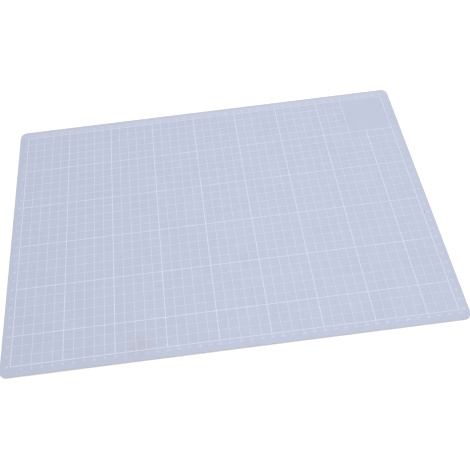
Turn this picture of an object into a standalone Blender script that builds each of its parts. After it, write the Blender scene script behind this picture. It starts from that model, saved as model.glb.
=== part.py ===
"""Self-healing cutting mat: five bonded PVC plies with a centimetre grid printed on the top one.

Units are metres and +Z is up. The origin is the centre of the underside. +X runs along the
mat's length and +Y across its width, from the near border to the far one.
"""

from math import ceil, cos, pi, sin

import bmesh
import bpy
from mathutils import Matrix, Vector

# The die-cut sheet
LENGTH = 0.450
WIDTH = 0.300
CORNER_RADIUS = 0.007
CORNER_STEPS = 8
RIM_ROUNDING = 0.0002

# The plies: a skin on each face, a soft healing ply under each skin, a stiff core in the middle
SKIN = 0.0003
HEALING_PLY = 0.0004
CORE = 0.0004
BOND_LINE = 0.00005

# The printed grid: centimetre cells inside a border, and every fifth line is heavy. A label panel
# in the far right corner is left bare, in a heavy frame.
MARGIN = 0.010
CELL = 0.010
HEAVY_EVERY = 5
HEAVY_LINE = 0.00055
FINE_LINE = 0.0003
LABEL_CELLS = 5
LEAST_CELL_SHARE = 0.1

# The ink: one pass for the lines along the mat, a second pass over it for those across
INK_FILM = 0.00005
INK_SEAT = 0.00001

# How far a cutter runs out past the film that it cuts
CUT_PAST = 0.002


def clear_scene():
    for obj in list(bpy.data.objects):
        bpy.data.objects.remove(obj, do_unlink=True)


def new_collection(name):
    collection = bpy.data.collections.new(name)
    bpy.context.scene.collection.children.link(collection)
    return collection


def plastic(name, colour, roughness):
    material = bpy.data.materials.new(name)
    material.use_nodes = True
    shader = material.node_tree.nodes["Principled BSDF"]
    shader.inputs["Base Color"].default_value = (*colour, 1.0)
    shader.inputs["Roughness"].default_value = roughness
    shader.inputs["Metallic"].default_value = 0.0
    material.diffuse_color = (*colour, 1.0)
    return material


def rounded_outline():
    """Points round the sheet, anticlockwise from the right-hand side, each corner an arc."""
    points = []
    for quarter, (side_x, side_y) in enumerate(((1, 1), (-1, 1), (-1, -1), (1, -1))):
        centre = Vector((side_x * (LENGTH / 2 - CORNER_RADIUS), side_y * (WIDTH / 2 - CORNER_RADIUS)))
        for step in range(CORNER_STEPS + 1):
            angle = (quarter + step / CORNER_STEPS) * pi / 2
            points.append(centre + CORNER_RADIUS * Vector((cos(angle), sin(angle))))
    return points


def sheet_mesh(name, thickness):
    """The die-cut outline as a closed plate about z = 0, its flat faces in one piece each."""
    curve = bpy.data.curves.new(name, "CURVE")
    curve.dimensions = "2D"
    curve.fill_mode = "BOTH"
    curve.extrude = thickness / 2
    outline = rounded_outline()
    spline = curve.splines.new("POLY")
    spline.points.add(len(outline) - 1)
    for point, place in zip(spline.points, outline):
        point.co = (place.x, place.y, 0.0, 1.0)
    spline.use_cyclic_u = True
    drawn = bpy.data.objects.new(name, curve)
    bpy.context.scene.collection.objects.link(drawn)
    evaluated = drawn.evaluated_get(bpy.context.evaluated_depsgraph_get())
    mesh = bpy.data.meshes.new_from_object(evaluated)
    bpy.data.objects.remove(drawn, do_unlink=True)
    shape = bmesh.new()
    shape.from_mesh(mesh)
    bmesh.ops.remove_doubles(shape, verts=shape.verts, dist=1e-6)
    bmesh.ops.dissolve_limit(shape, angle_limit=0.01, verts=shape.verts, edges=shape.edges)
    bmesh.ops.recalc_face_normals(shape, faces=shape.faces)
    shape.to_mesh(mesh)
    shape.free()
    return mesh


def round_rim(ply, side):
    """Rounds the rim of a skin's outer face: side is 1 for the upper face and -1 for the lower."""
    shape = bmesh.new()
    shape.from_mesh(ply.data)
    weight = shape.edges.layers.float.new("bevel_weight_edge")
    for edge in shape.edges:
        on_face = all(vertex.co.z * side > 0 for vertex in edge.verts)
        edge[weight] = 1.0 if on_face else 0.0
    shape.to_mesh(ply.data)
    shape.free()
    bevel = ply.modifiers.new("rim", "BEVEL")
    bevel.limit_method = "WEIGHT"
    bevel.width = min(RIM_ROUNDING, SKIN - BOND_LINE)
    bevel.segments = 2


def build_plies(parts):
    """Stacks the plies from the table upwards. Returns the height of the working surface."""
    skin_colour = (0.556, 0.598, 0.746)
    soft_colour = (0.78, 0.80, 0.85)
    core_colour = (0.82, 0.83, 0.86)
    stack = (
        ("bottom_skin", SKIN, skin_colour, 0.62, -1),
        ("lower_healing_ply", HEALING_PLY, soft_colour, 0.55, 0),
        ("stiff_core", CORE, core_colour, 0.45, 0),
        ("upper_healing_ply", HEALING_PLY, soft_colour, 0.55, 0),
        ("top_skin", SKIN, skin_colour, 0.62, 1),
    )
    top = -BOND_LINE
    for name, thickness, colour, roughness, rounded_side in stack:
        low = top + BOND_LINE
        top = low + thickness
        mesh = sheet_mesh(name, thickness)
        mesh.materials.append(plastic(name, colour, roughness))
        ply = bpy.data.objects.new(name, mesh)
        ply.location.z = (low + top) / 2
        parts.objects.link(ply)
        if rounded_side:
            round_rim(ply, rounded_side)
    return top


def printed_lines(span, from_high_end):
    """Place and width of each line of one direction, from border to border, lowest first.

    The cells and the heavy lines are counted from one border, so a span that isn't a whole
    number of cells leaves its odd cell at the other border.
    """
    cells = ceil(span / CELL - LEAST_CELL_SHARE)
    lines = [(-span / 2, HEAVY_LINE)]
    for count in range(1, cells):
        heavy = count % HEAVY_EVERY == 0
        lines.append((count * CELL - span / 2, HEAVY_LINE if heavy else FINE_LINE))
    lines.append((span / 2, HEAVY_LINE))
    if from_high_end:
        lines = [(-place, width) for place, width in reversed(lines)]
    return lines


def clear_strips(lines):
    """The bare strips between the inner lines. The first and last run out past the border."""
    inner = lines[1:-1]
    lows = [lines[0][0] - CUT_PAST] + [place + width / 2 for place, width in inner]
    highs = [place - width / 2 for place, width in inner] + [lines[-1][0] + CUT_PAST]
    return list(zip(lows, highs))


def boxes_object(collection, name, boxes):
    """One object of plain boxes, each given by its x, y and z ranges."""
    mesh = bpy.data.meshes.new(name)
    shape = bmesh.new()
    for box in boxes:
        low, high = (Vector(corner) for corner in zip(*box))
        place = Matrix.Translation((low + high) / 2)
        stretch = Matrix.Diagonal((*(high - low), 1.0))
        bmesh.ops.create_cube(shape, size=1.0, matrix=place @ stretch)
    shape.to_mesh(mesh)
    shape.free()
    obj = bpy.data.objects.new(name, mesh)
    collection.objects.link(obj)
    return obj


def add_cutter(cutters, name, boxes):
    cutter = boxes_object(cutters, name, boxes)
    cutter.hide_render = True
    cutter.display_type = "WIRE"
    return cutter


def add_film(parts, name, low, cutter_list):
    """One pass of ink over the whole grid, its underside at height low, with the cells cut out."""
    half_length = LENGTH / 2 - MARGIN + HEAVY_LINE / 2
    half_width = WIDTH / 2 - MARGIN + HEAVY_LINE / 2
    plate = ((-half_length, half_length), (-half_width, half_width), (low, low + INK_FILM))
    film = boxes_object(parts, name, [plate])
    film.data.materials.append(plastic(name, (0.79, 0.84, 0.96), 0.5))
    for cutter in cutter_list:
        cut = film.modifiers.new(cutter.name, "BOOLEAN")
        cut.operation = "DIFFERENCE"
        cut.solver = "EXACT"
        cut.object = cutter


def build_print(parts, cutters, surface):
    """The two passes of ink: lines along the mat first, then the lines across it.

    The line at the label panel's left is heavy beside the panel. From there to the near border it is
    trimmed back to its own width.
    """
    x_lines = printed_lines(LENGTH - 2 * MARGIN, from_high_end=False)
    y_lines = printed_lines(WIDTH - 2 * MARGIN, from_high_end=True)
    inside_x = (x_lines[0][0] + HEAVY_LINE / 2, x_lines[-1][0] - HEAVY_LINE / 2)
    inside_y = (y_lines[0][0] + HEAVY_LINE / 2, y_lines[-1][0] - HEAVY_LINE / 2)
    panel_x, side_width = x_lines[-1 - LABEL_CELLS]
    panel_y, panel_y_width = y_lines[-1 - LABEL_CELLS]
    x_lines[-1 - LABEL_CELLS] = (panel_x, HEAVY_LINE)
    first_pass = surface + INK_SEAT
    second_pass = first_pass + INK_FILM + INK_SEAT
    heights = (surface - CUT_PAST, second_pass + CUT_PAST)

    rows = [(inside_x, strip, heights) for strip in clear_strips(y_lines)]
    columns = [(strip, inside_y, heights) for strip in clear_strips(x_lines)]
    panel = (
        (panel_x + HEAVY_LINE / 2, inside_x[1]),
        (panel_y + panel_y_width / 2, inside_y[1]),
        heights,
    )
    nearer = (inside_y[0], panel_y)
    beside_line = [
        ((panel_x - HEAVY_LINE / 2 - CUT_PAST, panel_x - side_width / 2), nearer, heights),
        ((panel_x + side_width / 2, panel_x + HEAVY_LINE / 2 + CUT_PAST), nearer, heights),
    ]
    row_cutter = add_cutter(cutters, "cells_between_rows", rows)
    column_cutter = add_cutter(cutters, "cells_between_columns", columns)
    panel_cutter = add_cutter(cutters, "label_panel", [panel])
    trim_cutter = add_cutter(cutters, "beside_the_panel_line", beside_line)
    add_film(parts, "printed_lines_along", first_pass, [row_cutter, panel_cutter])
    add_film(parts, "printed_lines_across", second_pass, [column_cutter, panel_cutter, trim_cutter])


def main():
    clear_scene()
    parts = new_collection("cutting_mat")
    cutters = new_collection("cutters")
    surface = build_plies(parts)
    build_print(parts, cutters, surface)


main()
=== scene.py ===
from math import radians

import bmesh
import bpy
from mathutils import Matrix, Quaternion, Vector


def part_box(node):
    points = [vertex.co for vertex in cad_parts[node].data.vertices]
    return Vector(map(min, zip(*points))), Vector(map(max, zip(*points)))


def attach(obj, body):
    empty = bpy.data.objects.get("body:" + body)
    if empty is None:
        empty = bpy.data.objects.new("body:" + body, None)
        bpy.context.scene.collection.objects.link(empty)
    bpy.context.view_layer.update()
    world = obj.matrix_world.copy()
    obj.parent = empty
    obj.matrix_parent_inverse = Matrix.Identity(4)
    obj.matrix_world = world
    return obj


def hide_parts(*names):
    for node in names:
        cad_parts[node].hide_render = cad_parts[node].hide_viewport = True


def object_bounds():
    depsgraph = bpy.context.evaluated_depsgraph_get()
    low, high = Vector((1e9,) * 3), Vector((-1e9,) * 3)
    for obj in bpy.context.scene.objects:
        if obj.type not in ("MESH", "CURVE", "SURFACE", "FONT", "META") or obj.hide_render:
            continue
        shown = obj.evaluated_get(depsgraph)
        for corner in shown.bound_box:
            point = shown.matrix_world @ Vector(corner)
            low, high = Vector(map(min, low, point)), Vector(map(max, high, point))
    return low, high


# The looks of a self-healing cutting mat, in metres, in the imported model's own axes: X along the mat, Y from
# its near edge to its far one, Z up. The sections follow the laminate as it is pressed and printed, from the
# table side up.
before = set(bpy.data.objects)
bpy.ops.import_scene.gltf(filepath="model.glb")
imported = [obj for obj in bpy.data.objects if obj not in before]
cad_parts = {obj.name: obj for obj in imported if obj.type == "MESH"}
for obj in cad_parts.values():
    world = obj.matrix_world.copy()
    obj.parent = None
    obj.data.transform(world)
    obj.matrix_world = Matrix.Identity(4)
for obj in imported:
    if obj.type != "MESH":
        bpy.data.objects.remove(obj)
cad_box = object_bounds()


# Camera: where the photograph was taken from, worked out from the printed centimetre grid. It stands in front
# of the mat's near edge, looks down at about 60 degrees and leans, so that the near edge climbs to the right.
VIEWPOINT = Vector((-0.01230, -0.30136, 0.48372))
AIM = Vector((-0.00585, -0.02514, 0.00200))
LEAN = radians(5.991)
LENS_MM = 40.16
SHIFT_X = 0.0410

bpy.ops.object.camera_add(location=VIEWPOINT)
camera = bpy.context.object
camera.name = "photo_camera"
level = (AIM - VIEWPOINT).to_track_quat("-Z", "Y")
camera.rotation_euler = (level @ Quaternion((0.0, 0.0, 1.0), -LEAN)).to_euler()
camera.data.lens = LENS_MM
camera.data.shift_x = SHIFT_X
bpy.context.scene.camera = camera
bpy.context.scene.view_settings.view_transform = "Standard"


# Studio: a white table that runs out of sight, an even white room, and one large softbox overhead, to the
# right. Table and room look white to the camera and in a gloss, but light the mat at a plainer level. The
# table's lift to white grows away from the mat, where less of the softbox's light falls.
TABLE_SIZE = 8.0
TABLE_DROP = 0.0001
TABLE_COLOUR = (0.90, 0.90, 0.90, 1.0)
TABLE_ROUGHNESS = 0.9
TABLE_LIFT = 0.28
FAR_TABLE_LIFT = 0.53
LIFT_GROWS_FROM = 0.4
LIFT_GROWS_TO = 0.8
WHITE = (1.0, 1.0, 1.0, 1.0)
ROOM_LIGHT = 0.52
SOFTBOX_SIZE = 0.8
SOFTBOX_PLACE = Vector((0.15, 0.03, 1.10))
SOFTBOX_WATTS = 6.04


def new_material(name):
    """Returns a new material with its node tree and its shader."""
    material = bpy.data.materials.new(name)
    material.use_nodes = True
    return material, material.node_tree, material.node_tree.nodes["Principled BSDF"]


def add_node(tree, kind, inputs=None, **settings):
    """Adds a node. Each of its inputs, by name or by number, takes a value or another node's output."""
    made = tree.nodes.new("ShaderNode" + kind)
    for name, value in settings.items():
        setattr(made, name, value)
    for key, value in (inputs or {}).items():
        if isinstance(value, bpy.types.NodeSocket):
            tree.links.new(value, made.inputs[key])
        else:
            made.inputs[key].default_value = value
    return made


def own_place(tree):
    """Where a point lies in its own piece's axes."""
    return add_node(tree, "TexCoord").outputs["Object"]


def maths(tree, operation, first, second=0.0):
    return add_node(tree, "Math", {0: first, 1: second}, operation=operation).outputs[0]


def smooth_mask(tree, value, zero_at, one_at):
    """0 where value is at zero_at and 1 where it is at one_at, eased at both ends."""
    limits = {"Value": value, "From Min": zero_at, "From Max": one_at}
    return add_node(tree, "MapRange", limits, interpolation_type="SMOOTHSTEP").outputs["Result"]


def background_ray(tree):
    """1 for a ray that shows the background: the camera's, or one that a gloss or a clear body sends on."""
    rays = add_node(tree, "LightPath").outputs
    direct_or_gloss = maths(tree, "MAXIMUM", rays["Is Camera Ray"], rays["Is Glossy Ray"])
    return maths(tree, "MAXIMUM", direct_or_gloss, rays["Is Transmission Ray"])


bpy.ops.mesh.primitive_plane_add(size=TABLE_SIZE, location=(0.0, 0.0, -TABLE_DROP))
table = bpy.context.object
table.name = "studio_table"
table_paint, table_tree, table_shader = new_material("studio_table")
table_shader.inputs["Base Color"].default_value = TABLE_COLOUR
table_shader.inputs["Roughness"].default_value = TABLE_ROUGHNESS
table_shader.inputs["Specular IOR Level"].default_value = 0.0
table_shader.inputs["Emission Color"].default_value = WHITE
from_mat = add_node(table_tree, "VectorMath", {0: own_place(table_tree)}, operation="LENGTH").outputs["Value"]
far_share = smooth_mask(table_tree, from_mat, LIFT_GROWS_FROM, LIFT_GROWS_TO)
far_extra = maths(table_tree, "MULTIPLY", far_share, FAR_TABLE_LIFT - TABLE_LIFT)
table_lift = maths(table_tree, "ADD", far_extra, TABLE_LIFT)
table_glow = maths(table_tree, "MULTIPLY", background_ray(table_tree), table_lift)
table_tree.links.new(table_glow, table_shader.inputs["Emission Strength"])
table.data.materials.append(table_paint)

room = bpy.data.worlds.new("studio_room")
room.use_nodes = True
bpy.context.scene.world = room
room_walls = room.node_tree.nodes["Background"]
room_walls.inputs["Color"].default_value = WHITE
room_shown = {"Value": background_ray(room.node_tree), "To Min": ROOM_LIGHT}
room_level = add_node(room.node_tree, "MapRange", room_shown).outputs["Result"]
room.node_tree.links.new(room_level, room_walls.inputs["Strength"])

bpy.ops.object.light_add(type="AREA", location=SOFTBOX_PLACE)
softbox = bpy.context.object
softbox.name = "softbox"
softbox.data.size = SOFTBOX_SIZE
softbox.data.energy = SOFTBOX_WATTS


# Bottom skin: a third of a millimetre of calendered PVC, embossed with a fine matt grain so that the mat
# doesn't slide. It goes into the press first, face down. The die rolls its outer rim over a little when the
# mat is cut out, and leaves fine drag marks down the cut side.
CORNER_RADIUS = 0.007
CORNER_STEPS = 20
SKIN_RIM = 0.00022
RIM_STEPS = 3
RIM_LAND = 0.0008
LEVEL_NORMAL = 0.999
SMOOTH_UP_TO = radians(40)

# The colour runs from dark to light over a range of the patches' tone and the grain's height, added together.
# The tone is a random mottle, and the height adds painted shade in the pits of the grain
SKIN_COLOUR = (0.556, 0.598, 0.746)
TONE_CHANGE = 0.025
MOTTLE_AND_PIT_SHADE_FROM = 0.6
MOTTLE_AND_PIT_SHADE_TO = 1.3
BACK_ROUGHNESS = 0.66
SHEEN_CHANGE = 0.06

# The grain's height is part pebbles and the rest fine tooth, and its patches of sheen are smaller than those
# of tone
GRAINS_PER_METRE = 2600.0
PEBBLE_SHARE = 0.65
TEETH_PER_PEBBLE = 2.2
GRAIN_DEPTH = 0.00005
GRAIN_STRENGTH = 0.6
PATCHES_PER_METRE = 32.0
PATCH_BREAKUP = 0.65
SHEENS_PER_PATCH = 3.0

# A band round the face is painted darker towards the cut: painted shade of the rolled-over rim
RIM_SHADE_COLOUR = (0.560, 0.578, 0.645)
RIM_SHADE_BAND = 0.0024
RIM_SHADE_STRENGTH = 0.8

# The cut side begins where the normal's upward part has fallen to the first of these, and is all side where
# it has fallen to the second
SIDE_BEGINS_AT = 0.75
SIDE_FULL_AT = 0.35
CUT_COLOUR = (0.730, 0.765, 0.910)
DRAG_MARKS_PER_METRE = 1500.0
DRAG_SQUEEZE = 0.06


def noise(tree, place, lumps_per_metre, octaves=3.0, breakup=0.5):
    """Soft lumps, with a value about one half. breakup is how rough the finer octaves make them."""
    inputs = {"Vector": place, "Scale": lumps_per_metre, "Detail": octaves, "Roughness": breakup}
    return add_node(tree, "TexNoise", inputs).outputs["Fac"]


def mix_colours(tree, share, first, second):
    """A colour between two others. The Mix node's colour sockets are its inputs 6 and 7 and its output 2."""
    colours = {0: share}
    for key, colour in ((6, first), (7, second)):
        colours[key] = colour if isinstance(colour, bpy.types.NodeSocket) else (*colour, 1.0)
    return add_node(tree, "Mix", colours, data_type="RGBA").outputs[2]


def vary_roughness(tree, shader, unevenness, roughness, change):
    """Lets a shader's roughness run from change below its middle value to change above it."""
    limits = {"Value": unevenness, "To Min": roughness - change, "To Max": roughness + change}
    spread = add_node(tree, "MapRange", limits)
    tree.links.new(spread.outputs["Result"], shader.inputs["Roughness"])


def add_relief(tree, shader, height, strength, depth):
    """Gives a shader the fine relief of a height that runs from 0 to 1 over depth."""
    bump = add_node(tree, "Bump", {"Height": height, "Strength": strength, "Distance": depth})
    tree.links.new(bump.outputs["Normal"], shader.inputs["Normal"])


def new_group(name, inputs, outputs):
    """A shader node group with plain number sockets. Returns its tree and its input and output nodes."""
    tree = bpy.data.node_groups.new(name, "ShaderNodeTree")
    for label, value in inputs.items():
        socket = tree.interface.new_socket(label, in_out="INPUT", socket_type="NodeSocketFloat")
        socket.default_value = value
    for label in outputs:
        tree.interface.new_socket(label, in_out="OUTPUT", socket_type="NodeSocketFloat")
    return tree, tree.nodes.new("NodeGroupInput"), tree.nodes.new("NodeGroupOutput")


def place_group(tree, name, inputs=None):
    return add_node(tree, "Group", inputs, node_tree=bpy.data.node_groups[name])


def make_matt_grain():
    """The embossed grain: pebbles and fine tooth for its height, and slow patches of tone and of sheen."""
    tree, given, result = new_group(
        "matt_grain",
        {"Grains per metre": GRAINS_PER_METRE, "Patches per metre": PATCHES_PER_METRE},
        ("Height", "Tone", "Sheen"),
    )
    place = own_place(tree)
    grains = given.outputs["Grains per metre"]
    patches = given.outputs["Patches per metre"]
    pebbles = add_node(tree, "TexVoronoi", {"Vector": place, "Scale": grains}, feature="SMOOTH_F1")
    tooth = noise(tree, place, maths(tree, "MULTIPLY", grains, TEETH_PER_PEBBLE), octaves=2.0)
    rise = maths(tree, "MULTIPLY", pebbles.outputs["Distance"], PEBBLE_SHARE)
    bite = maths(tree, "MULTIPLY", tooth, 1 - PEBBLE_SHARE)
    tone = noise(tree, place, patches, octaves=4.0, breakup=PATCH_BREAKUP)
    sheen = noise(tree, place, maths(tree, "MULTIPLY", patches, SHEENS_PER_PATCH))
    tree.links.new(maths(tree, "ADD", rise, bite), result.inputs["Height"])
    tree.links.new(tone, result.inputs["Tone"])
    tree.links.new(sheen, result.inputs["Sheen"])


def make_die_cut_rim():
    """How near a point is to the mat's outline, as seen from above: 1 at the cut, 0 a band's width inside."""
    half = (cad_box[1] - cad_box[0]) / 2
    tree, given, result = new_group(
        "die_cut_rim",
        {"Half length": half.x, "Half width": half.y, "Corner radius": CORNER_RADIUS, "Band": RIM_SHADE_BAND},
        ("Rim",),
    )
    place = add_node(tree, "SeparateXYZ", {0: own_place(tree)})
    radius = given.outputs["Corner radius"]
    past = []
    for axis, half_size in (("X", "Half length"), ("Y", "Half width")):
        corner_centre = maths(tree, "SUBTRACT", given.outputs[half_size], radius)
        across = maths(tree, "ABSOLUTE", place.outputs[axis])
        past.append(maths(tree, "SUBTRACT", across, corner_centre))
    out_x, out_y = (maths(tree, "MAXIMUM", distance, 0.0) for distance in past)
    squares = maths(tree, "ADD", maths(tree, "MULTIPLY", out_x, out_x), maths(tree, "MULTIPLY", out_y, out_y))
    round_part = maths(tree, "SQRT", squares)
    straight_part = maths(tree, "MINIMUM", maths(tree, "MAXIMUM", past[0], past[1]), 0.0)
    from_cut = maths(tree, "SUBTRACT", maths(tree, "ADD", round_part, straight_part), radius)
    share = maths(tree, "ADD", maths(tree, "DIVIDE", from_cut, given.outputs["Band"]), 1.0)
    tree.links.new(smooth_mask(tree, share, 0.0, 1.0), result.inputs["Rim"])


def make_cut_side():
    """The side that the die leaves: a mask of the side itself, and its drag marks from top to bottom."""
    marks = {"Marks per metre": DRAG_MARKS_PER_METRE}
    tree, given, result = new_group("cut_side", marks, ("Side", "Drag"))
    facing = add_node(tree, "SeparateXYZ", {0: add_node(tree, "TexCoord").outputs["Normal"]})
    upward = maths(tree, "ABSOLUTE", facing.outputs["Z"])
    squeezed = add_node(tree, "Mapping", {"Vector": own_place(tree), "Scale": (1.0, 1.0, DRAG_SQUEEZE)})
    drag = noise(tree, squeezed.outputs[0], given.outputs["Marks per metre"])
    tree.links.new(smooth_mask(tree, upward, SIDE_BEGINS_AT, SIDE_FULL_AT), result.inputs["Side"])
    tree.links.new(drag, result.inputs["Drag"])


def scaled(colour, factor):
    return tuple(channel * factor for channel in colour)


def skin_material(name, roughness):
    """Matt grained PVC. Returns the material, its shader and the output that holds its colour."""
    material, tree, shader = new_material(name)
    grain = place_group(tree, "matt_grain")
    rim = place_group(tree, "die_cut_rim")
    side = place_group(tree, "cut_side")
    # Painted shade: the grain's pits are painted darker, on top of the random mottle of tone
    tone_and_pit_shade = maths(tree, "ADD", grain.outputs["Tone"], grain.outputs["Height"])
    mottle_and_pit_shade = smooth_mask(tree, tone_and_pit_shade, MOTTLE_AND_PIT_SHADE_FROM, MOTTLE_AND_PIT_SHADE_TO)
    dark, light = scaled(SKIN_COLOUR, 1 - TONE_CHANGE), scaled(SKIN_COLOUR, 1 + TONE_CHANGE)
    face = mix_colours(tree, mottle_and_pit_shade, dark, light)
    # Painted shade: the band round the face darkens towards the cut, where the rolled rim falls into shade
    rim_shade_share = maths(tree, "MULTIPLY", rim.outputs["Rim"], RIM_SHADE_STRENGTH)
    rim_shaded = mix_colours(tree, rim_shade_share, face, RIM_SHADE_COLOUR)
    colour = mix_colours(tree, side.outputs["Side"], rim_shaded, CUT_COLOUR)
    tree.links.new(colour, shader.inputs["Base Color"])
    vary_roughness(tree, shader, grain.outputs["Sheen"], roughness, SHEEN_CHANGE)
    drag = maths(tree, "MULTIPLY", side.outputs["Drag"], side.outputs["Side"])
    relief = maths(tree, "ADD", grain.outputs["Height"], drag)
    add_relief(tree, shader, relief, GRAIN_STRENGTH, GRAIN_DEPTH)
    return material, shader, colour


def deselect_all():
    for obj in bpy.context.selected_objects:
        obj.select_set(False)


def select_in_mesh(sheet, mode, wanted):
    """In edit mode, selects the edges or faces for which wanted is true, and nothing else."""
    bpy.ops.mesh.select_mode(type=mode)
    bpy.ops.mesh.select_all(action="DESELECT")
    shape = bmesh.from_edit_mesh(sheet.data)
    for element in shape.edges if mode == "EDGE" else shape.faces:
        if wanted(element):
            element.select_set(True)
    shape.select_flush_mode()
    bmesh.update_edit_mesh(sheet.data)


def die_cut_sheet(name, node, rim, rolled=(-1, 1), set_back=0.0):
    """A ply in its CAD node's place, with round corners and the rims of its cut side rolled over by rim.

    rolled names the faces whose rims are rolled, 1 for the upper and -1 for the lower. set_back is how far
    the cut side stands back from the mat's outline. A narrow land inside each rim keeps the rim's smooth
    shading off the face.
    """
    low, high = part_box(node)
    inward = Vector((set_back, set_back, 0.0))
    low, high = low + inward, high - inward
    deselect_all()
    bpy.ops.mesh.primitive_cube_add(size=1.0, location=(low + high) / 2)
    sheet = bpy.context.object
    sheet.name = sheet.data.name = name
    sheet.scale = high - low
    bpy.ops.object.transform_apply(location=True, rotation=True, scale=True)
    bpy.ops.object.mode_set(mode="EDIT")
    middle, half_thickness = (low.z + high.z) / 2, (high.z - low.z) / 2
    select_in_mesh(
        sheet, "EDGE",
        lambda edge: abs(edge.verts[0].co.z - edge.verts[1].co.z) > half_thickness,
    )
    bpy.ops.mesh.bevel(offset=CORNER_RADIUS - set_back, segments=CORNER_STEPS, affect="EDGES")
    for face_side in rolled:
        face_height = middle + face_side * half_thickness
        select_in_mesh(
            sheet, "EDGE",
            lambda edge: all(abs(vertex.co.z - face_height) < half_thickness / 2 for vertex in edge.verts),
        )
        bpy.ops.mesh.bevel(offset=rim, segments=RIM_STEPS, affect="EDGES")
    select_in_mesh(sheet, "FACE", lambda face: abs(face.normal.z) > LEVEL_NORMAL)
    bpy.ops.mesh.inset(thickness=RIM_LAND, use_individual=True)
    bpy.ops.object.mode_set(mode="OBJECT")
    bpy.ops.object.shade_smooth_by_angle(angle=SMOOTH_UP_TO)
    return sheet


make_matt_grain()
make_die_cut_rim()
make_cut_side()
back_skin = die_cut_sheet("back_skin", "bottom_skin", SKIN_RIM, rolled=(-1,))
back_skin.data.materials.append(skin_material("back_skin_pvc", BACK_ROUGHNESS)[0])
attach(back_skin, "root")
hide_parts("bottom_skin")


# Lower healing ply: soft, heavily plasticised PVC that closes again behind a blade. Only its cut side shows.
# It gives under the die and springs back, so its side stands a twentieth of a millimetre behind the skins.
PLY_SET_BACK = 0.00005
PLY_RIM = 0.00010
PLY_COLOUR = (0.800, 0.825, 0.950)
PLY_ROUGHNESS = 0.55
PLY_POLISH_CHANGE = 0.1
PLY_MARKS_PER_METRE = 1100.0
PLY_MARK_DEPTH = 0.00003
PLY_MARK_STRENGTH = 0.5
PLY_DARK_TONE = 0.95
PLY_LIGHT_TONE = 1.03
PLY_DARK_AT = 0.3
PLY_LIGHT_AT = 0.7


def ply_material(name, colour, roughness):
    """Plain PVC as it shows at the cut: drag marks from the die, and a slightly uneven tone."""
    material, tree, shader = new_material(name)
    side = place_group(tree, "cut_side", {"Marks per metre": PLY_MARKS_PER_METRE})
    drag = side.outputs["Drag"]
    tone = smooth_mask(tree, drag, PLY_DARK_AT, PLY_LIGHT_AT)
    cut = mix_colours(tree, tone, scaled(colour, PLY_DARK_TONE), scaled(colour, PLY_LIGHT_TONE))
    tree.links.new(cut, shader.inputs["Base Color"])
    vary_roughness(tree, shader, drag, roughness, PLY_POLISH_CHANGE)
    add_relief(tree, shader, drag, PLY_MARK_STRENGTH, PLY_MARK_DEPTH)
    return material


lower_soft_ply = die_cut_sheet("lower_soft_ply", "lower_healing_ply", PLY_RIM, set_back=PLY_SET_BACK)
lower_soft_ply.data.materials.append(ply_material("lower_soft_ply_pvc", PLY_COLOUR, PLY_ROUGHNESS))
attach(lower_soft_ply, "root")
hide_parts("lower_healing_ply")


# Stiff core: hard PVC in the middle, which stops the blade and keeps the mat flat. It is a shade whiter than
# the plies on its two sides, and the die leaves its side crisp, flush with the skins.
CORE_RIM = 0.00003
CORE_COLOUR = (0.840, 0.855, 0.950)
CORE_ROUGHNESS = 0.45

core_sheet = die_cut_sheet("core_sheet", "stiff_core", CORE_RIM)
core_sheet.data.materials.append(ply_material("core_sheet_pvc", CORE_COLOUR, CORE_ROUGHNESS))
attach(core_sheet, "root")
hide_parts("stiff_core")


# Upper healing ply: the same soft PVC as the lower one, above the core. It is the ply that takes the cuts.
# Heat and pressure bond it to the core and to the top skin, with a bond line as fine as a hair between them.
upper_soft_ply = die_cut_sheet("upper_soft_ply", "upper_healing_ply", PLY_RIM, set_back=PLY_SET_BACK)
upper_soft_ply.data.materials.append(ply_material("upper_soft_ply_pvc", PLY_COLOUR, PLY_ROUGHNESS))
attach(upper_soft_ply, "root")
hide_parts("upper_healing_ply")


# Top skin: the working face, of the same grained PVC as the bottom one. The grain takes the glare off it and
# gives the ink a hold. Use has left a faint mauve smudge near the front edge and a dark nick by the right
# one. The far margin is painted lighter, as a painted glare of the white background.
FACE_ROUGHNESS = 0.62

FAR_GLARE_COLOUR = (0.613, 0.643, 0.791)
FAR_GLARE_STRENGTH = 0.6
FAR_GLARE_FROM_EDGE = 0.0018
FAR_GLARE_TO_GRID = 0.0098
FAR_GLARE_SOFTNESS = 0.0012

SMUDGE_PLACE = Vector((-0.0905, -0.1350))
SMUDGE_SIZE = Vector((0.0195, 0.0160))
SMUDGE_RAG = 0.8
SMUDGE_STRENGTH = 0.33
SMUDGE_COLOUR = (0.500, 0.452, 0.507)

NICK_PLACE = Vector((0.2166, -0.0288))
NICK_SIZE = Vector((0.0006, 0.0018))
NICK_RAG = 0.3
NICK_COLOUR = (0.170, 0.170, 0.210)
LUMPS_PER_SPOT = 2.2


def pale_mask(tree):
    """The far margin, between the rim of the sheet and the printed border, where a painted glare lightens the
    face.
    """
    place = add_node(tree, "SeparateXYZ", {0: own_place(tree)})
    depth = maths(tree, "SUBTRACT", cad_box[1].y, place.outputs["Y"])
    past_rim = smooth_mask(tree, depth, FAR_GLARE_FROM_EDGE, FAR_GLARE_FROM_EDGE + FAR_GLARE_SOFTNESS)
    before_grid = smooth_mask(tree, depth, FAR_GLARE_TO_GRID, FAR_GLARE_TO_GRID - FAR_GLARE_SOFTNESS)
    return maths(tree, "MULTIPLY", past_rim, before_grid)


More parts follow.
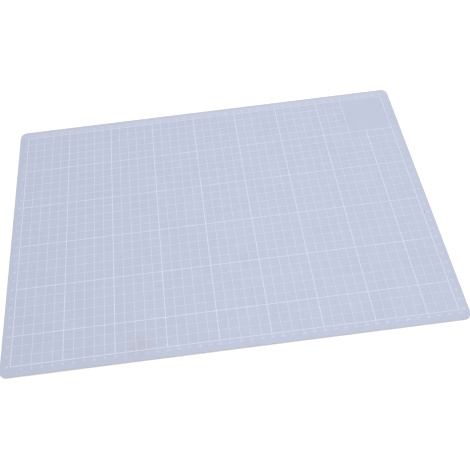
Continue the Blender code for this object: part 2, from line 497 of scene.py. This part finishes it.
def spot_mask(tree, place, size, rag):
    """A soft spot on the sheet: 1 at its middle, and 0 at its ragged rim, which lies size away from there."""
    from_middle = add_node(
        tree, "Mapping",
        {
            "Vector": own_place(tree),
            "Location": (-place.x / size.x, -place.y / size.y, 0.0),
            "Scale": (1 / size.x, 1 / size.y, 0.0),
        },
    ).outputs[0]
    distance = add_node(tree, "VectorMath", {0: from_middle}, operation="LENGTH").outputs["Value"]
    wander = maths(tree, "MULTIPLY", noise(tree, from_middle, LUMPS_PER_SPOT), rag)
    return smooth_mask(tree, maths(tree, "ADD", distance, wander), 1.0 + rag / 2, rag / 2)


face_skin = die_cut_sheet("face_skin", "top_skin", SKIN_RIM, rolled=(1,))
face_pvc, face_shader, face_colour = skin_material("face_skin_pvc", FACE_ROUGHNESS)
face_tree = face_pvc.node_tree
# Painted glare: the far margin is painted lighter, as if the white background glared on it
far_glare = maths(face_tree, "MULTIPLY", pale_mask(face_tree), FAR_GLARE_STRENGTH)
with_far_glare = mix_colours(face_tree, far_glare, face_colour, FAR_GLARE_COLOUR)
smudge = spot_mask(face_tree, SMUDGE_PLACE, SMUDGE_SIZE, SMUDGE_RAG)
faint_smudge = maths(face_tree, "MULTIPLY", smudge, SMUDGE_STRENGTH)
smudged = mix_colours(face_tree, faint_smudge, with_far_glare, SMUDGE_COLOUR)
nick = spot_mask(face_tree, NICK_PLACE, NICK_SIZE, NICK_RAG)
nicked = mix_colours(face_tree, nick, smudged, NICK_COLOUR)
face_tree.links.new(nicked, face_shader.inputs["Base Color"])
face_skin.data.materials.append(face_pvc)
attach(face_skin, "root")
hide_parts("top_skin")


# Printed grid: one film of off-white ink, screen printed through a stencil. Fine lines stand a centimetre
# apart inside a heavy border, and every fifth line is heavy too. A label panel at the far right is bare, in a
# heavy frame. The ink lies fullest at the left, where the squeegee began its stroke.
CELL = 0.010
HEAVY_EVERY = 5
HEAVY_LINE = 0.00055
FINE_LINE = 0.0003
LABEL_CELLS = 5

INK_FILM = 0.00004
INK_COLOUR = (0.830, 0.880, 1.000)
INK_ROUGHNESS = 0.525
INK_SHEEN_CHANGE = 0.075
INK_GRAIN_STRENGTH = 0.35
INK_PATCHES_PER_METRE = 140.0
INK_UNEVENNESS = 0.5

# How opaque the ink lies on each kind of stroke, at the left end of the print and at its right end. A share
# over 1 counts as 1. The fine lines along the mat lose a little at the near border, and gain as much at the
# far one.
FAR_BORDER_INK = (1.10, 0.56)
HEAVY_ACROSS_INK = (1.00, 0.86)
HEAVY_ALONG_INK = (0.98, 0.70)
FINE_ACROSS_INK = (1.08, 0.64)
FINE_ALONG_INK = (0.96, 0.66)
FIGURE_INK = (0.70, 0.64)
NEAR_FINE_LOSS = 0.20


def ink_material(name):
    """Matt screen ink over the grain, with the skin showing through as each face's ink_held says."""
    material, tree, shader = new_material(name)
    grain = place_group(tree, "matt_grain", {"Patches per metre": INK_PATCHES_PER_METRE})
    held = add_node(tree, "Attribute", attribute_name="ink_held").outputs["Fac"]
    off_middle = maths(tree, "SUBTRACT", grain.outputs["Tone"], 0.5)
    cover = maths(tree, "ADD", held, maths(tree, "MULTIPLY", off_middle, INK_UNEVENNESS))
    tree.links.new(mix_colours(tree, cover, SKIN_COLOUR, INK_COLOUR), shader.inputs["Base Color"])
    vary_roughness(tree, shader, grain.outputs["Sheen"], INK_ROUGHNESS, INK_SHEEN_CHANGE)
    add_relief(tree, shader, grain.outputs["Height"], INK_GRAIN_STRENGTH, GRAIN_DEPTH)
    return material


def grid_lines(low, high, from_high_end):
    """Place and width of each line between the borders at low and high, counted from one of them."""
    cells = round((high - low) / CELL)
    lines = []
    for count in range(cells + 1):
        place = high - count * CELL if from_high_end else low + count * CELL
        heavy = count % HEAVY_EVERY == 0 or count == cells
        lines.append((place, HEAVY_LINE if heavy else FINE_LINE))
    return lines


def on_line(place, lines):
    return any(abs(place - middle) < width / 2 for middle, width in lines)


print_low, print_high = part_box("printed_lines_along")
half_border = HEAVY_LINE / 2
grid_left, grid_right = print_low.x + half_border, print_high.x - half_border
grid_near, grid_far = print_low.y + half_border, print_high.y - half_border
across_lines = grid_lines(grid_left, grid_right, from_high_end=False)
along_lines = grid_lines(grid_near, grid_far, from_high_end=True)
heavy_across = [line for line in across_lines if line[1] == HEAVY_LINE]
heavy_along = [line for line in along_lines if line[1] == HEAVY_LINE]

# The line at the label panel's left is a fine one that is printed heavy beside the panel
panel_left = across_lines[-1 - LABEL_CELLS][0]
panel_near = along_lines[LABEL_CELLS][0]
panel_side = (panel_left, HEAVY_LINE)


def is_bare(face):
    """Whether a face of the cut-up film lies in a cell or in the label panel, where no ink is printed."""
    middle = face.calc_center_median()
    lines_across, lines_along = across_lines, along_lines
    if middle.y > panel_near:
        lines_across = across_lines + [panel_side]
        if middle.x > panel_left:
            lines_across = (panel_side, across_lines[-1])
            lines_along = (along_lines[LABEL_CELLS], along_lines[0])
    return not (on_line(middle.x, lines_across) or on_line(middle.y, lines_along))


def ink_held(place):
    """How opaque the ink is at a place of the print, from 0 to 1."""
    to_right = (place.x - grid_left) / (grid_right - grid_left)
    to_far = (place.y - grid_near) / (grid_far - grid_near)
    loss = 0.0
    if on_line(place.y, along_lines[:1]):
        ends = FAR_BORDER_INK
    elif on_line(place.x, heavy_across):
        ends = HEAVY_ACROSS_INK
    elif on_line(place.y, heavy_along):
        ends = HEAVY_ALONG_INK
    elif on_line(place.x, across_lines + [panel_side]):
        ends = FINE_ACROSS_INK
    elif on_line(place.y, along_lines):
        ends = FINE_ALONG_INK
        loss = NEAR_FINE_LOSS * (1 - 2 * to_far)
    else:
        ends = FIGURE_INK
    left_end, right_end = ends
    return min(left_end + (right_end - left_end) * to_right - loss, 1.0)


def note_ink_held(piece):
    """Tells the ink's material how opaque each face of a printed piece is."""
    shares = piece.data.attributes.new("ink_held", "FLOAT", "FACE")
    for face in piece.data.polygons:
        shares.data[face.index].value = ink_held(face.center)


deselect_all()
film_middle = (print_low + print_high) / 2
bpy.ops.mesh.primitive_plane_add(size=1.0, location=(film_middle.x, film_middle.y, print_low.z))
grid = bpy.context.object
grid.name = grid.data.name = "printed_grid"
grid.scale = (print_high.x - print_low.x, print_high.y - print_low.y, 1.0)
bpy.ops.object.transform_apply(location=True, rotation=True, scale=True)
bpy.ops.object.mode_set(mode="EDIT")
right, away = Vector((1.0, 0.0, 0.0)), Vector((0.0, 1.0, 0.0))
for lines, normal in ((across_lines + [panel_side], right), (along_lines, away)):
    for middle, width in lines:
        for edge in (middle - width / 2, middle + width / 2):
            bpy.ops.mesh.select_all(action="SELECT")
            bpy.ops.mesh.bisect(plane_co=normal * edge, plane_no=normal)
select_in_mesh(grid, "FACE", is_bare)
bpy.ops.mesh.delete(type="FACE")
bpy.ops.object.mode_set(mode="OBJECT")
film = grid.modifiers.new("ink_film", "SOLIDIFY")
film.thickness = INK_FILM
film.offset = 1.0
bpy.ops.object.modifier_apply(modifier=film.name)
note_ink_held(grid)
ink = ink_material("screen_ink")
grid.data.materials.append(ink)
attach(grid, "root")
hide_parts("printed_lines_along", "printed_lines_across")


# Scale numerals: plain figures in the margins, printed with the grid and in the same ink. Every line has its
# number at both ends: the near and far scales count from the left, the side scales from the far border.
NUMERAL_HEIGHT = 0.0026
FONT_HEIGHT_SHARE = 0.73
NUMERAL_WIDENING = 1.15
NUMERAL_CURVE_STEPS = 2
STROKE_SPREAD = 0.00002
MERGE_DISTANCE = 1e-7

# How far the numerals stand outside the border, and how far two of the scales sit beside their lines
NEAR_CLEARANCE = 0.0015
FAR_CLEARANCE = 0.0013
LEFT_CLEARANCE = 0.0020
RIGHT_CLEARANCE = 0.0021
RIGHT_SCALE_RISE = 0.0005
NEAR_AND_FAR_SHIFT = 0.0002


def add_numeral(count, x, y, align_x, align_y):
    """One number of a scale, set as text at its place on the sheet."""
    bpy.ops.object.text_add(location=(x, y, print_low.z + STROKE_SPREAD))
    numeral = bpy.context.object
    numeral.data.body = str(count)
    numeral.data.size = NUMERAL_HEIGHT / FONT_HEIGHT_SHARE
    numeral.scale.x = NUMERAL_WIDENING
    numeral.data.align_x = align_x
    numeral.data.align_y = align_y
    numeral.data.resolution_u = NUMERAL_CURVE_STEPS
    numeral.data.bevel_depth = STROKE_SPREAD
    numeral.data.bevel_resolution = 0
    return numeral


deselect_all()
numerals = []
for count, (line_x, _) in enumerate(across_lines[1:], start=1):
    x = line_x + NEAR_AND_FAR_SHIFT
    numerals.append(add_numeral(count, x, grid_near - NEAR_CLEARANCE, "CENTER", "TOP"))
    numerals.append(add_numeral(count, x, grid_far + FAR_CLEARANCE, "CENTER", "BOTTOM"))
for count, (line_y, _) in enumerate(along_lines[1:], start=1):
    right_y = line_y + RIGHT_SCALE_RISE
    numerals.append(add_numeral(count, grid_left - LEFT_CLEARANCE, line_y, "RIGHT", "CENTER"))
    numerals.append(add_numeral(count, grid_right + RIGHT_CLEARANCE, right_y, "LEFT", "CENTER"))
for numeral in numerals:
    numeral.select_set(True)
bpy.context.view_layer.objects.active = numerals[0]
bpy.ops.object.convert(target="MESH")
bpy.ops.object.join()
scales = bpy.context.object
scales.name = scales.data.name = "scale_numerals"
bpy.ops.object.transform_apply(location=True, rotation=True, scale=True)
bpy.ops.object.mode_set(mode="EDIT")
bpy.ops.mesh.select_all(action="SELECT")
bpy.ops.mesh.remove_doubles(threshold=MERGE_DISTANCE)
bpy.ops.object.mode_set(mode="OBJECT")
note_ink_held(scales)
scales.data.materials.clear()
scales.data.materials.append(ink)
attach(scales, "root")
